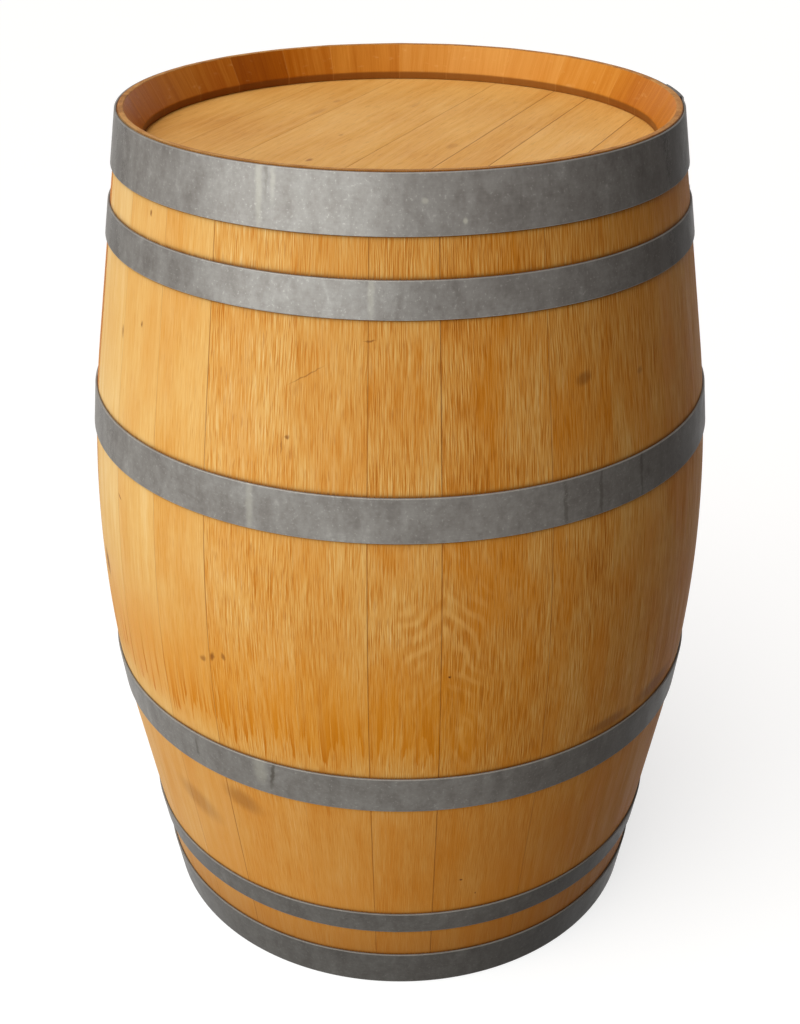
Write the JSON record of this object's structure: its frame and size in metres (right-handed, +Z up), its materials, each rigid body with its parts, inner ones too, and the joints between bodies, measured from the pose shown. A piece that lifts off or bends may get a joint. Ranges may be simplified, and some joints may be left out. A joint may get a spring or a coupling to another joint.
{
  "type": "wine barrel",
  "caption": "Oak wine barrel on its end: bent staves with bevelled chimes, doweled heads sunk in crozes, riveted galvanised hoops and a tapered bung.",
  "frame": {"origin": "centre of the circle on which the barrel stands, at the lower stave ends", "axes": "+Z up along the barrel's axis, +Y out through the bung hole"},
  "size_m": [0.6919, 0.701, 0.95],
  "materials": {
    "stave_oak": "golden brown oak, sealed, satin",
    "head_oak": "golden brown oak, sealed, satin",
    "dowel_wood": "bare hardwood",
    "hoop_steel": "dull galvanised strip",
    "rivet_steel": "dull galvanised",
    "bung_wood": "bare turned hardwood"
  },
  "bodies": {
    "cask": {"bung_stave": "stave_oak", "stave_02": "stave_oak", "stave_03": "stave_oak", "stave_04": "stave_oak", "stave_05": "stave_oak", "stave_06": "stave_oak", "stave_07": "stave_oak", "stave_08": "stave_oak", "stave_09": "stave_oak", "stave_10": "stave_oak", "stave_11": "stave_oak", "stave_12": "stave_oak", "stave_13": "stave_oak", "stave_14": "stave_oak", "stave_15": "stave_oak", "stave_16": "stave_oak", "stave_17": "stave_oak", "stave_18": "stave_oak", "stave_19": "stave_oak", "stave_20": "stave_oak", "stave_21": "stave_oak", "stave_22": "stave_oak", "stave_23": "stave_oak", "stave_24": "stave_oak", "stave_25": "stave_oak", "top_head_board_1": "head_oak", "top_head_board_2": "head_oak", "top_head_board_3": "head_oak", "top_head_board_4": "head_oak", "top_head_board_5": "head_oak", "top_head_board_6": "head_oak", "top_head_board_7": "head_oak", "bottom_head_board_1": "head_oak", "bottom_head_board_2": "head_oak", "bottom_head_board_3": "head_oak", "bottom_head_board_4": "head_oak", "bottom_head_board_5": "head_oak", "bottom_head_board_6": "head_oak", "bottom_head_board_7": "head_oak", "top_head_dowels": "dowel_wood", "bottom_head_dowels": "dowel_wood", "top_head_hoop": "hoop_steel", "top_quarter_hoop": "hoop_steel", "top_bilge_hoop": "hoop_steel", "bottom_head_hoop": "hoop_steel", "bottom_quarter_hoop": "hoop_steel", "bottom_bilge_hoop": "hoop_steel", "top_head_hoop_rivets": "rivet_steel", "top_quarter_hoop_rivets": "rivet_steel", "top_bilge_hoop_rivets": "rivet_steel", "bottom_head_hoop_rivets": "rivet_steel", "bottom_quarter_hoop_rivets": "rivet_steel", "bottom_bilge_hoop_rivets": "rivet_steel"},
    "bung": {"bung": "bung_wood"}
  },
  "joints": [
    {"name": "bung_pull", "type": "slide", "parent": "cask", "child": "bung", "axis": [0, 1, 0], "range_m": [0, 0.12]}
  ]
}
